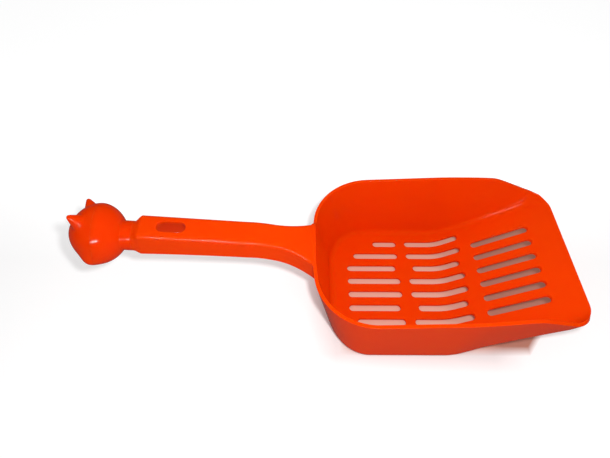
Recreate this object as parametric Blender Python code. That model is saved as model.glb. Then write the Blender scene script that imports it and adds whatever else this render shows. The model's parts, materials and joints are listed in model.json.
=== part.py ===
"""Sifting scoop with a turning cat-head knob. Metres, +Z up.

The origin is on the flat underside of the pan, in the mirror plane (Y = 0). +X runs from the
handle to the lip. The pan and its handle are one moulding. The hollow knob is two half shells
that turn on a round spigot at the handle's end, held by a washer and a screw.
"""

import math

import bmesh
import bpy
import numpy as np
from mathutils import Matrix, Vector

GAP = 0.0003
WALL = 0.0020
MIN_RADIUS = 1e-7

# Pan floor and ramp. Heights are of the underside unless a name says top.
BEND_X = 0.0629
RAMP_ANGLE = math.radians(32.8)
BEND_RADIUS = 0.0207
LIP_X = 0.1245

# Rim outline in plan.
RIM_BACK_X = -0.0195
BACK_CORNER = (0.0135, 0.0163, 0.0330)
RIM_HALF_WIDTH = 0.0493
SIDE_TAPER_X = 0.0560
LIP_CORNER_RADIUS = 0.0134
LIP_HALF_WIDTH = 0.0458
BACK_POINTS = 8
LIP_POINTS = 2

# Rim height: a gentle rise along the sides, then a fall to the ramp.
RIM_HEIGHT = 0.0478
RIM_RISE = 0.055
RIM_PEAK_X = 0.0918
RIM_FALL = 0.42
RIM_ROUND = 0.0015
RIM_MEET = 0.0010
LIP_MEET = 0.0002

# Rim hump under the handle.
HUMP_HEIGHT = 0.0510
HUMP_INNER = 0.0115
HUMP_OUTER = 0.0180

# Foot of the walls. BACK_LEAN is horizontal run per metre of height.
FOOT_HALF_WIDTH = 0.0449
RAMP_FOOT_HALF_WIDTH = 0.0430
FOOT_NARROWS_X = (0.0550, 0.0800)
BACK_LEAN = 0.21
FOOT_FILLET = 0.0055

# Sifting slots: three columns along X, each listed as (start, end) by row outward from the middle.
SLOT_PITCH = 0.0095
SLOT_WIDTH = 0.0043
FIRST_COLUMN = ((0.0032, 0.0369), (0.0032, 0.0347), (0.0078, 0.0369), (0.0213, 0.0369))
BEND_COLUMN = ((0.0427, 0.0760), (0.0460, 0.0744), (0.0427, 0.0760), (0.0427, 0.0760))
RAMP_COLUMN = ((0.0820, 0.1112), (0.0820, 0.1112), (0.0820, 0.1112))
SLOT_OVERCUT = 0.0040

# Handle: an inverted channel, open below.
HANDLE_ROOT_X = -0.0205
HANDLE_END_X = -0.1160
HANDLE_TOP_END = 0.0674
HANDLE_SLOPE = 0.095
HANDLE_SAG_X = -0.0520
HANDLE_SAG = 0.0070
HANDLE_HALF_WIDTH = 0.0076
HANDLE_DRAFT = 0.0010
HANDLE_DEPTH = 0.0127
HANDLE_END_DEPTH = 0.0023
HANDLE_ROOT_DEPTH = 0.0048
HANDLE_EDGE_RADIUS = 0.0025
HANDLE_SKIN = 0.0022
FLARE_X = -0.0420
FLARE = 0.0060
SHOULDER_LENGTH = 0.0050
END_WALL = 0.0030
HANG_HOLE = (-0.1023, -0.0872, 0.0068)

# Knob: local +Z is the turning axis, pointing away from the handle, and local +Y its crown.
KNOB_CENTRE = Vector((-0.1332, 0.0, 0.0588))
AXIS_RISE = 0.0904
KNOB_ROLL = math.radians(31.0)
HEAD_RADIUS = 0.0161
HEAD_FRONT = 0.0163
HEAD_REAR = 0.0142
HEAD_POWER = 1.78
CROWN_SWELL = 0.0005
CHEEK_SWELL = 0.0019
CHEEK_DIRECTION = Vector((0.80, -0.76, 0.24)).normalized()
CHEEK_SPREAD = 0.28
HEAD_SEGMENTS = 72
EAR_SPREAD = math.radians(42.7)
EAR_TILT = math.radians(28.8)
EAR_REACH = 0.0244
EAR_HALF_ANGLE = math.radians(24.8)
EAR_TIP_RADIUS = 0.0221
EAR_BLEND = 0.0005

# Knob shells: they part at the head's widest section, where a lip on one locates the other.
CAVITY_RADIUS = 0.0124
LAP_RADIUS = 0.0138
LAP_THICKNESS = 0.0012
LAP_HEIGHT = 0.0020
NECK_RADIUS = 0.0080
NECK_EDGE = 0.0004
SLEEVE_END = -0.0090
SPIGOT_RADIUS = 0.0055

# Retaining screw and washer.
SHANK_RADIUS = 0.0015
SHANK_LENGTH = 0.0085
POINT_LENGTH = 0.0020
SCREW_HEAD_RADIUS = 0.0032
SCREW_HEAD_HEIGHT = 0.0022
RECESS_SIZE = (0.0036, 0.0008)
RECESS_DEPTH = 0.0012
WASHER_RADIUS = 0.0076
WASHER_THICKNESS = 0.0008
ROUND_SEGMENTS = 40


def clear_scene():
    for obj in list(bpy.data.objects):
        bpy.data.objects.remove(obj, do_unlink=True)


def plastic(name, colour, roughness, metallic=0.0):
    material = bpy.data.materials.new(name)
    material.use_nodes = True
    shader = material.node_tree.nodes["Principled BSDF"]
    shader.inputs["Base Color"].default_value = (*colour, 1.0)
    shader.inputs["Roughness"].default_value = roughness
    shader.inputs["Metallic"].default_value = metallic
    return material


def new_object(name, bm, material=None):
    bmesh.ops.recalc_face_normals(bm, faces=bm.faces)
    mesh = bpy.data.meshes.new(name)
    bm.to_mesh(mesh)
    bm.free()
    if material is not None:
        mesh.materials.append(material)
    obj = bpy.data.objects.new(name, mesh)
    bpy.context.scene.collection.objects.link(obj)
    return obj


def helper(obj):
    obj.hide_render = True
    obj.display_type = "WIRE"
    return obj


def combine(obj, other, operation):
    modifier = obj.modifiers.new(operation.title() + " " + other.name, "BOOLEAN")
    modifier.operation = operation
    modifier.object = helper(other)
    modifier.solver = "EXACT"


def smooth(value):
    value = min(max(value, 0.0), 1.0)
    return value * value * (3.0 - 2.0 * value)


# ---------------------------------------------------------------- pan

def underside(x):
    """Height of the pan's underside: flat floor, rolled bend, ramp."""
    reach = BEND_RADIUS * math.tan(RAMP_ANGLE / 2)
    start = BEND_X - reach
    end = BEND_X + reach * math.cos(RAMP_ANGLE)
    if x <= start:
        return 0.0
    if x >= end:
        return (x - BEND_X) * math.tan(RAMP_ANGLE)
    return BEND_RADIUS - math.sqrt(BEND_RADIUS**2 - (x - start) ** 2)


def floor_slope(x):
    reach = BEND_RADIUS * math.tan(RAMP_ANGLE / 2)
    turned_by = (x - BEND_X + reach) / BEND_RADIUS
    return min(max(math.asin(min(max(turned_by, 0.0), 1.0)), 0.0), RAMP_ANGLE)


def floor_thickness(x):
    """The floor's thickness, measured straight up."""
    return WALL / math.cos(floor_slope(x))


def rim_half_width(x):
    lip_start = LIP_X - LIP_CORNER_RADIUS
    taper = min(max(x - SIDE_TAPER_X, 0.0) / (lip_start - SIDE_TAPER_X), 1.0)
    return RIM_HALF_WIDTH + (LIP_HALF_WIDTH - RIM_HALF_WIDTH) * taper**1.5


def foot_half_width(x):
    start, end = FOOT_NARROWS_X
    return FOOT_HALF_WIDTH + (RAMP_FOOT_HALF_WIDTH - FOOT_HALF_WIDTH) * smooth((x - start) / (end - start))


def rim_height(x, y):
    past = x - RIM_PEAK_X
    rounded = (past + math.hypot(past, 2 * RIM_ROUND)) / 2
    side = RIM_HEIGHT + RIM_RISE * x - (RIM_RISE + RIM_FALL) * rounded
    over_lip = side - underside(LIP_X) - floor_thickness(LIP_X)
    side += (math.hypot(over_lip, 2 * RIM_MEET) - over_lip) / 2
    if x < 0:
        hump = smooth((HUMP_OUTER - abs(y)) / (HUMP_OUTER - HUMP_INNER))
        side += hump * (HUMP_HEIGHT - side)
    return side


def wall_height(x, y):
    """Height of the rim over the underside. The rim eases into the lip where the two meet."""
    thickness = floor_thickness(x)
    over_floor = rim_height(x, y) - underside(x) - thickness
    over_floor = (over_floor + math.hypot(over_floor, 2 * LIP_MEET)) / 2
    return over_floor + thickness * smooth(over_floor / (2 * WALL))


def half_outline():
    """Rim points from the middle of the back to the middle of the lip, with outward normals."""
    corner_x, corner_y, radius = BACK_CORNER
    points = []
    for step in range(BACK_POINTS):
        points.append((RIM_BACK_X, corner_y * step / BACK_POINTS, math.pi))
    for step in range(15):
        angle = math.pi - step / 14 * math.pi / 2
        x = corner_x + radius * math.cos(angle)
        y = corner_y + radius * math.sin(angle)
        points.append((x, y, angle))
    reach = BEND_RADIUS * math.tan(RAMP_ANGLE / 2)
    bend = np.linspace(BEND_X - reach, BEND_X + reach * math.cos(RAMP_ANGLE), 7)
    lip_start = LIP_X - LIP_CORNER_RADIUS
    crest = [RIM_PEAK_X + step * RIM_ROUND for step in (-4, -2, -1, 0, 1, 2, 4)]
    stations = [0.024, 0.034, 0.045, *bend, 0.075, *crest, 0.101, 0.107]
    for x in stations:
        points.append((x, rim_half_width(x), math.pi / 2))
    for step in range(17):
        angle = math.pi / 2 - step / 16 * math.pi / 2
        x = lip_start + LIP_CORNER_RADIUS * math.cos(angle)
        y = LIP_HALF_WIDTH - LIP_CORNER_RADIUS + LIP_CORNER_RADIUS * math.sin(angle)
        points.append((x, y, angle))
    lip_end = LIP_HALF_WIDTH - LIP_CORNER_RADIUS
    for step in range(1, LIP_POINTS + 1):
        points.append((LIP_X, lip_end * (1 - step / LIP_POINTS), 0.0))
    return points


def wall_section(x, y, angle):
    """Pairs of outer and inner points, from the rim down the wall and round the foot to the floor."""
    height = wall_height(x, y)
    outward = Vector((math.cos(angle), math.sin(angle), 0.0))
    # The outline is true at the common rim height, and the hump carries the leaning wall on upward.
    rise = max(height - (RIM_HEIGHT + RIM_RISE * x), 0.0) if x < 0 else 0.0
    rim = Vector((x, y, 0.0)) + outward * (BACK_LEAN * rise)
    rim.z = underside(x) + height
    side_run = rim_half_width(x) - foot_half_width(x)
    end_run = BACK_LEAN * (height - rise) if outward.x < 0 else side_run
    foot = Vector((x - end_run * outward.x, y - side_run * outward.y, 0.0))
    foot.z = underside(foot.x)
    toe = foot - outward * FOOT_FILLET
    toe.z = underside(toe.x)
    reach = min(FOOT_FILLET / max(height, WALL), 0.85)
    heel = foot.lerp(rim, reach)
    outer = [rim]
    tangents = [rim - foot]
    for step in range(6):
        t = step / 5
        outer.append(heel * (1 - t) ** 2 + foot * (2 * t * (1 - t)) + toe * t**2)
        tangents.append((heel - foot) * (1 - t) + (foot - toe) * t)
    floor_angle = math.atan2(foot.z - toe.z, FOOT_FILLET)
    section = []
    for point, tangent in zip(outer, tangents):
        up_angle = math.atan2(tangent.z, tangent.dot(outward)) - floor_angle
        inward = -outward * (WALL * math.sin(up_angle))
        lift = Vector((0.0, 0.0, floor_thickness(point.x) * math.cos(up_angle)))
        section.append((point, point + inward + lift))
    return section


def pan_shell():
    """The pan: outer and inner skins, each with walls in rings and the floor in strips across."""
    bm = bmesh.new()
    half = [wall_section(*point) for point in half_outline()]
    last = len(half) - 1
    # The straight back and the straight lip each end in one strip that takes all their points.
    cuts = [0, *range(BACK_POINTS + 1, last - LIP_POINTS), last]
    rims = []
    for skin in (0, 1):
        columns = {}
        for side in (1, -1):
            for index, section in enumerate(half):
                if side < 0 and index in (0, last):
                    columns[index, side] = columns[index, 1]
                    continue
                points = [pair[skin] for pair in section]
                columns[index, side] = [bm.verts.new((p.x, side * p.y, p.z)) for p in points]
            for index in range(last):
                near = columns[index, side]
                far = columns[index + 1, side]
                for row in range(len(near) - 1):
                    bm.faces.new((near[row], far[row], far[row + 1], near[row + 1]))
        for first, second in zip(cuts, cuts[1:]):
            edge = [columns[index, 1][-1] for index in range(first, second + 1)]
            edge += [columns[index, -1][-1] for index in range(second, first - 1, -1)]
            bm.faces.new(list(dict.fromkeys(edge)))
        rim = [columns[index, 1][0] for index in range(last + 1)]
        rim += [columns[index, -1][0] for index in range(last - 1, 0, -1)]
        rims.append(rim)
    outer, inner = rims
    for i in range(len(outer)):
        bm.faces.new((outer[i - 1], outer[i], inner[i], inner[i - 1]))
    return bm


def stadium(name, x0, x1, y, width, z0, z1):
    """A vertical round-ended prism."""
    bm = bmesh.new()
    radius = width / 2
    ring = []
    for centre, start in ((x1 - radius, -math.pi / 2), (x0 + radius, math.pi / 2)):
        for step in range(7):
            angle = start + step / 6 * math.pi
            ring.append((centre + radius * math.cos(angle), y + radius * math.sin(angle)))
    low = [bm.verts.new((px, py, z0)) for px, py in ring]
    face = bm.faces.new(low)
    top = bmesh.ops.extrude_face_region(bm, geom=[face])
    moved = [item for item in top["geom"] if isinstance(item, bmesh.types.BMVert)]
    bmesh.ops.translate(bm, verts=moved, vec=(0.0, 0.0, z1 - z0))
    return new_object(name, bm)


def slot_cutter():
    """All sifting slots as one set of separate prisms."""
    bm = bmesh.new()
    for column in (FIRST_COLUMN, BEND_COLUMN, RAMP_COLUMN):
        for row, (x0, x1) in enumerate(column):
            for side in (1, -1):
                y = side * (row + 0.5) * SLOT_PITCH
                top = underside(x1) + floor_thickness(x1) + SLOT_OVERCUT
                slot = stadium("slot", x0, x1, y, SLOT_WIDTH, -SLOT_OVERCUT, top)
                bm.from_mesh(slot.data)
                bpy.data.objects.remove(slot)
    return new_object("slot_cutter", bm)


# ---------------------------------------------------------------- handle

def handle_top(x):
    line = HANDLE_TOP_END + HANDLE_SLOPE * (HANDLE_END_X - x)
    sag = max(x - HANDLE_SAG_X, 0.0) / (HANDLE_ROOT_X - HANDLE_SAG_X)
    return line - HANDLE_SAG * sag**1.75


def handle_half_width(x):
    flare = max(x - FLARE_X, 0.0) / (HANDLE_ROOT_X - FLARE_X)
    return HANDLE_HALF_WIDTH + FLARE * flare**2


def handle_depth(x):
    to_end = max(HANDLE_SAG_X - x, 0.0) / (HANDLE_SAG_X - HANDLE_END_X)
    to_root = max(x - HANDLE_SAG_X, 0.0) / (HANDLE_ROOT_X - HANDLE_SAG_X)
    return HANDLE_DEPTH + HANDLE_END_DEPTH * to_end**2 + HANDLE_ROOT_DEPTH * to_root**1.5


def station_lean(x):
    """Tilt of each cross-section, from the pan's back wall to square on the knob's axis."""
    along = (x - HANDLE_ROOT_X) / (HANDLE_END_X - HANDLE_ROOT_X)
    return -BACK_LEAN + (AXIS_RISE + BACK_LEAN) * min(max(along, 0.0), 1.0)


def axis_height(x):
    return KNOB_CENTRE.z + AXIS_RISE * (KNOB_CENTRE.x - x)


def handle_ring(x, inset=0.0, drop=0.0, roundness=0.0):
    """One cross-section, inset all round. drop takes the open side further down, and roundness
    takes it towards a circle about the turning axis, as wide as the neck."""
    top = handle_top(x) - inset
    half = handle_half_width(x) - inset
    bottom = handle_top(x) - handle_depth(x) + (0.0 if drop else inset)
    radius = max(HANDLE_EDGE_RADIUS - inset, 0.001)
    draft = HANDLE_DRAFT if inset < HANDLE_SKIN else 0.5 * HANDLE_DRAFT
    ring = [(half / 2, bottom - drop), (half + draft, bottom - drop)]
    for step in range(6):
        angle = step / 5 * math.pi / 2
        ring.append((half - radius + radius * math.cos(angle), top - radius + radius * math.sin(angle)))
    ring += [(-y, z) for y, z in reversed(ring)]
    level = axis_height(x) if x < HANDLE_SAG_X else handle_top(x)
    points = []
    for y, z in ring:
        rise = z - axis_height(x)
        scale = 1 + roundness * (NECK_RADIUS / math.hypot(y, rise) - 1)
        height = axis_height(x) + rise * scale
        points.append(Vector((x + station_lean(x) * (height - level), y * scale, height)))
    return points


def loft(name, rings):
    """A closed solid through cross-sections that have the same number of points."""
    bm = bmesh.new()
    rows = [[bm.verts.new(point) for point in ring] for ring in rings]
    for near, far in zip(rows, rows[1:]):
        count = len(near)
        for i in range(count):
            j = (i + 1) % count
            bm.faces.new((near[i], near[j], far[j], far[i]))
    bm.faces.new(rows[0])
    bm.faces.new(rows[-1])
    return new_object(name, bm)


def handle_block():
    rings = []
    for x in np.linspace(HANDLE_ROOT_X + WALL / 2, HANDLE_SAG_X, 9):
        rings.append(handle_ring(x))
    for x in np.linspace(HANDLE_SAG_X, HANDLE_END_X + SHOULDER_LENGTH, 7)[1:]:
        rings.append(handle_ring(x))
    for t in np.linspace(0.0, 1.0, 7)[1:]:
        x = HANDLE_END_X + SHOULDER_LENGTH * (1 - t)
        rings.append(handle_ring(x, roundness=smooth(t)))
    return loft("handle_block", rings)


def handle_channel():
    """The hollow of the handle, open below, which ends in front of the back wall and the end wall."""
    rings = []
    for x in np.linspace(HANDLE_ROOT_X - 0.0004, HANDLE_SAG_X, 9):
        rings.append(handle_ring(x, HANDLE_SKIN, drop=0.004))
    for x in np.linspace(HANDLE_SAG_X, HANDLE_END_X + END_WALL, 7)[1:]:
        rings.append(handle_ring(x, HANDLE_SKIN, drop=0.004))
    return loft("handle_channel", rings)


# ---------------------------------------------------------------- turned pieces

def axis_matrix(roll):
    """Frame at the knob's centre: local +Z along the turning axis, local +Y up, then rolled."""
    along = Vector((-1.0, 0.0, AXIS_RISE)).normalized()
    across = Vector((0.0, 1.0, 0.0))
    up = across.cross(-along)
    up = up * math.copysign(1.0, up.z)
    crown = up * math.cos(roll) + across * math.sin(roll)
    lateral = crown.cross(along)
    frame = Matrix((lateral, crown, along)).transposed().to_4x4()
    return Matrix.Translation(KNOB_CENTRE) @ frame


def neck_length():
    """From the knob's centre back to the end of the handle, along the turning axis."""
    return (HANDLE_END_X - KNOB_CENTRE.x) * math.hypot(1.0, AXIS_RISE)


def turned(name, profile, segments, material=None):
    """Revolve a closed profile about local Z. A profile point is (z, radius), or the angle from
    local +Z of a point on the shaped surface of the head."""
    bm = bmesh.new()
    rows = []
    for point in profile:
        row = []
        for i in range(segments):
            angle = 2 * math.pi * i / segments
            if isinstance(point, float):
                outward = math.sin(point)
                direction = Vector((outward * math.cos(angle), outward * math.sin(angle), math.cos(point)))
                place = direction * head_radius(direction)
            else:
                z, outward = point
                place = Vector((outward * math.cos(angle), outward * math.sin(angle), z))
            row.append(bm.verts.new(place))
            if outward < MIN_RADIUS:
                break
        rows.append(row)
    pairs = list(zip(rows, rows[1:]))
    if len(rows[0]) > 1 or len(rows[-1]) > 1:
        pairs.append((rows[-1], rows[0]))
    for near, far in pairs:
        if len(near) == len(far) == 1:
            continue
        for i in range(segments):
            j = (i + 1) % segments
            if len(near) == 1:
                bm.faces.new((near[0], far[i], far[j]))
            elif len(far) == 1:
                bm.faces.new((near[i], near[j], far[0]))
            else:
                bm.faces.new((near[i], near[j], far[j], far[i]))
    return new_object(name, bm, material)


def head_radius(direction):
    """Radius of the head in a direction: a rounded solid with full cheeks, a crown and two ears."""
    depth = HEAD_FRONT if direction.z > 0 else HEAD_REAR
    across = math.hypot(direction.x, direction.y) / HEAD_RADIUS
    along = abs(direction.z) / depth
    radius = (across**HEAD_POWER + along**HEAD_POWER) ** (-1 / HEAD_POWER)
    radius += CROWN_SWELL * smooth((direction.y - 0.4) / 0.6)
    folded = Vector((abs(direction.x), direction.y, direction.z))
    radius += CHEEK_SWELL * math.exp(-((folded.angle(CHEEK_DIRECTION) / CHEEK_SPREAD) ** 2))
    ear = Vector((
        math.cos(EAR_TILT) * math.sin(EAR_SPREAD),
        math.cos(EAR_TILT) * math.cos(EAR_SPREAD),
        math.sin(EAR_TILT),
    ))
    off = min(folded.angle(ear) + EAR_HALF_ANGLE, math.pi / 2)
    cone = min(EAR_REACH * math.sin(EAR_HALF_ANGLE) / math.sin(off), EAR_TIP_RADIUS)
    return radius + EAR_BLEND * math.log1p(math.exp((cone - radius) / EAR_BLEND))


def neck_angle():
    """Angle from local +Z at which the head's surface comes down to the neck."""
    low = math.pi / 2
    high = math.pi
    for _ in range(40):
        angle = (low + high) / 2
        direction = Vector((math.sin(angle), 0.0, math.cos(angle)))
        if head_radius(direction) * direction.x > NECK_RADIUS:
            low = angle
        else:
            high = angle
    return low


def cavity_arc(z_from, z_to, count):
    """Profile points on the round cavity of the head."""
    angles = np.linspace(math.acos(z_from / CAVITY_RADIUS), math.acos(z_to / CAVITY_RADIUS), count)
    return [(CAVITY_RADIUS * math.cos(a), max(CAVITY_RADIUS * math.sin(a), 0.0)) for a in angles]


def neck_shell(material):
    """Rear half of the head, with the sleeve that turns on the spigot."""
    end = -neck_length() + GAP
    bore = SPIGOT_RADIUS + GAP
    start = neck_angle()
    neck_z = head_radius(Vector((math.sin(start), 0.0, math.cos(start)))) * math.cos(start)
    profile = [(end, bore), (end, NECK_RADIUS - NECK_EDGE), (end + NECK_EDGE, NECK_RADIUS)]
    profile += [(neck_z - 2 * NECK_EDGE, NECK_RADIUS)]
    profile += [float(angle) for angle in np.linspace(start - 0.02, math.pi / 2, 11)]
    profile += [(0.0, LAP_RADIUS), (LAP_HEIGHT, LAP_RADIUS), (LAP_HEIGHT, LAP_RADIUS - LAP_THICKNESS)]
    boss_z = -math.sqrt(CAVITY_RADIUS**2 - NECK_RADIUS**2)
    profile += cavity_arc(0.0, boss_z, 7)
    profile += [(SLEEVE_END, NECK_RADIUS), (SLEEVE_END, bore)]
    return turned("knob_neck_shell", profile, HEAD_SEGMENTS, material)


def face_shell(material):
    """Front half of the head, with the ears. It covers the screw."""
    seat = LAP_RADIUS + GAP
    start = math.acos(GAP / HEAD_RADIUS)
    profile = [float(angle) for angle in np.linspace(start, 0.0, 22)]
    profile += cavity_arc(CAVITY_RADIUS, LAP_HEIGHT + GAP, 8)
    profile += [(LAP_HEIGHT + GAP, seat), (GAP, seat)]
    return turned("knob_face_shell", profile, HEAD_SEGMENTS, material)


def washer(material):
    bottom = SLEEVE_END + GAP
    top = bottom + WASHER_THICKNESS
    hole = SHANK_RADIUS + GAP
    profile = [(bottom, hole), (bottom, WASHER_RADIUS), (top, WASHER_RADIUS), (top, hole)]
    return turned("retaining_washer", profile, ROUND_SEGMENTS, material)


def screw_seat():
    """Height of the underside of the screw's head, along the turning axis."""
    return SLEEVE_END + GAP + WASHER_THICKNESS + GAP


def screw(material):
    """Pan-head self-tapping screw with a cross recess."""
    seat = screw_seat()
    top = seat + SCREW_HEAD_HEIGHT
    tip = seat - SHANK_LENGTH
    profile = [(tip, 0.0), (tip + POINT_LENGTH, SHANK_RADIUS), (seat, SHANK_RADIUS)]
    profile += [(seat, SCREW_HEAD_RADIUS), (seat + SCREW_HEAD_HEIGHT / 2, SCREW_HEAD_RADIUS)]
    profile += [(top - SCREW_HEAD_HEIGHT / 5, 0.75 * SCREW_HEAD_RADIUS), (top, 0.0)]
    body = turned("retaining_screw", profile, ROUND_SEGMENTS, material)
    length, width = RECESS_SIZE
    for index, (size_x, size_y) in enumerate(((length, width), (width, length))):
        bm = bmesh.new()
        bmesh.ops.create_cube(bm, size=1.0)
        bmesh.ops.scale(bm, vec=(size_x, size_y, 2 * RECESS_DEPTH), verts=bm.verts)
        bmesh.ops.translate(bm, vec=(0.0, 0.0, top), verts=bm.verts)
        cutter = new_object("recess_%d" % index, bm)
        cutter.matrix_world = axis_matrix(0.0)
        combine(body, cutter, "DIFFERENCE")
    return body


def spigot():
    """Round post on the handle's end wall, with the screw's blind hole, for the sleeve to turn on."""
    start = -neck_length() - 0.6 * END_WALL
    end = SLEEVE_END - GAP
    hole = SHANK_RADIUS + GAP
    bottom = screw_seat() - SHANK_LENGTH - GAP
    profile = [(start, 0.0), (start, SPIGOT_RADIUS), (end, SPIGOT_RADIUS)]
    profile += [(end, hole), (bottom, hole), (bottom, 0.0)]
    return turned("spigot", profile, ROUND_SEGMENTS)


# ---------------------------------------------------------------- assembly

def scoop_body(material):
    body = new_object("scoop_body", pan_shell(), material)
    combine(body, slot_cutter(), "DIFFERENCE")
    combine(body, handle_block(), "UNION")
    combine(body, handle_channel(), "DIFFERENCE")
    post = spigot()
    post.matrix_world = axis_matrix(0.0)
    combine(body, post, "UNION")
    x0, x1, width = HANG_HOLE
    combine(body, stadium("hanging_hole", x0, x1, 0.0, width, 0.056, 0.075), "DIFFERENCE")
    return body


def main():
    clear_scene()
    orange = plastic("orange_plastic", (0.90, 0.045, 0.002), 0.28)
    knob_orange = plastic("knob_plastic", (0.90, 0.050, 0.003), 0.30)
    steel = plastic("zinc_steel", (0.60, 0.60, 0.58), 0.35, 1.0)
    scoop_body(orange)
    pivot = bpy.data.objects.new("knob_pivot", None)
    bpy.context.scene.collection.objects.link(pivot)
    pivot.matrix_world = axis_matrix(KNOB_ROLL)
    for piece in (neck_shell(knob_orange), face_shell(knob_orange)):
        piece.data.shade_smooth()
        piece.data.set_sharp_from_angle(angle=math.radians(35))
        piece.parent = pivot
    for piece in (washer(steel), screw(steel)):
        piece.matrix_world = axis_matrix(0.0)


main()
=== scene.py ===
"""Finished looks of the sifting scoop: fine moulding, shells of the knob, materials and studio.

Metres, in the frame of the CAD: origin on the flat underside in the mirror plane, +X to the lip.
"""

import json
import math

import bmesh
import bpy
import numpy as np
from mathutils import Matrix, Vector


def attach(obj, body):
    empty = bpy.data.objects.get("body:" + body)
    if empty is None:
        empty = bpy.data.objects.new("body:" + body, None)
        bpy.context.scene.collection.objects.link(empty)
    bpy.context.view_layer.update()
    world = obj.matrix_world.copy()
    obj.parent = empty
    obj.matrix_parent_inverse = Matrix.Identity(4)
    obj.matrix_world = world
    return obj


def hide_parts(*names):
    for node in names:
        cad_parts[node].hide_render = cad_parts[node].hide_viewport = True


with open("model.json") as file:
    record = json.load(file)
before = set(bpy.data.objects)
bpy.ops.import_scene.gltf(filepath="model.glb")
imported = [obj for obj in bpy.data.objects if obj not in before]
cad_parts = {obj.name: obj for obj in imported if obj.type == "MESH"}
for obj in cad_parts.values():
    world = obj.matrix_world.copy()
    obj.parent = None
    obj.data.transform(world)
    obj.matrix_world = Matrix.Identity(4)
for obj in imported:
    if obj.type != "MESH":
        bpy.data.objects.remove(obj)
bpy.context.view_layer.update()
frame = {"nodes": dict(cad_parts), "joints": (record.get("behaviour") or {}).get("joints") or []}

WALL = 0.0020

# Points closer than MERGE become one after a cut. QUARTER_ROUND is how far along its tangents a
# Bezier curve has its handles when it draws a quarter circle.
MERGE = 2e-6
QUARTER_ROUND = 0.5523

# Pan floor and ramp. Heights are of the underside unless a name says top.
BEND_X = 0.0629
RAMP_ANGLE = math.radians(32.8)
BEND_RADIUS = 0.0207
LIP_X = 0.1245

# Rim outline in plan.
RIM_BACK_X = -0.0195
BACK_CORNER = (0.0135, 0.0163, 0.0330)
RIM_HALF_WIDTH = 0.0493
SIDE_TAPER_X = 0.0560
LIP_CORNER_RADIUS = 0.0134
LIP_HALF_WIDTH = 0.0458

# Points on the outline: straight back, each corner, straight lip, and the steps along a side, from
# the back corner over the two ends of the bend and of the rim's rounded peak to the lip corner.
BACK_POINTS = 12
CORNER_POINTS = 25
LIP_POINTS = 4
SIDE_STEPS = (13, 14, 5, 12, 9)

# Rim height: a gentle rise along the sides, a fall to the ramp and a hump under the handle.
RIM_HEIGHT = 0.0478
RIM_RISE = 0.055
RIM_PEAK_X = 0.0918
RIM_FALL = 0.42
RIM_ROUND = 0.0015
RIM_MEET = 0.0010
LIP_MEET = 0.0002
RIM_EDGE = 0.00035
HUMP_HEIGHT = 0.0510
HUMP_INNER = 0.0115
HUMP_OUTER = 0.0180
RIM_EDGE_STEPS = 4

# Foot of the walls. BACK_LEAN is horizontal run per metre of height. Where a wall is low, the
# fillet takes at most FILLET_SHARE of it.
FOOT_HALF_WIDTH = 0.0449
RAMP_FOOT_HALF_WIDTH = 0.0430
FOOT_NARROWS_X = (0.0550, 0.0800)
BACK_LEAN = 0.21
FOOT_FILLET = 0.0055
FOOT_STEPS = 9
WALL_ROWS = 5
FILLET_SHARE = 0.8

# Sifting slots: three columns along X, each listed as (start, end) by row outward from the middle.
SLOT_PITCH = 0.0095
SLOT_WIDTH = 0.0043
SLOT_EDGE = 0.00045
SLOT_COLUMNS = (
    ((0.0032, 0.0369), (0.0032, 0.0347), (0.0078, 0.0369), (0.0213, 0.0369)),
    ((0.0427, 0.0760), (0.0460, 0.0744), (0.0427, 0.0760), (0.0427, 0.0760)),
    ((0.0820, 0.1112), (0.0820, 0.1112), (0.0820, 0.1112)),
)

# Eased edge of a cutter: the angles along its quarter round, in degrees, the straight run after
# it, as a share of the edge, and how far the cutter goes on beyond the surface.
EASE_ANGLES = (0, 25, 50, 72)
EASE_RUN = 0.6
CUT_THROUGH = 0.0010

# Handle: an inverted channel, open below. GRIP_RINGS counts the rings on each side of the place
# where it starts to sag.
HANDLE_ROOT_X = -0.0205
HANDLE_END_X = -0.1160
HANDLE_TOP_END = 0.0674
HANDLE_SLOPE = 0.095
HANDLE_SAG_X = -0.0520
HANDLE_SAG = 0.0070
HANDLE_HALF_WIDTH = 0.0076
HANDLE_DRAFT = 0.0010
HANDLE_DEPTH = 0.0127
HANDLE_END_DEPTH = 0.0023
HANDLE_ROOT_DEPTH = 0.0048
HANDLE_EDGE_RADIUS = 0.0025
HANDLE_LOWER_EDGE = 0.0005
HANDLE_SKIN = 0.0022
FLARE_X = -0.0420
FLARE = 0.0060
ROOT_FILLET = 0.0010
ROOT_ANGLES = (75, 60, 45, 30, 15)
SHOULDER_LENGTH = 0.0050
SHOULDER_STEPS = 14
END_WALL = 0.0030
CHANNEL_START_X = HANDLE_ROOT_X - 0.0004
CHANNEL_ROUND = 0.0015
CHANNEL_OVERRUN = 0.0040
GRIP_RINGS = (22, 14)
HANG_HOLE = (-0.1023, -0.0872, 0.0068)
HANG_HOLE_EDGE = 0.0003

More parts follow.
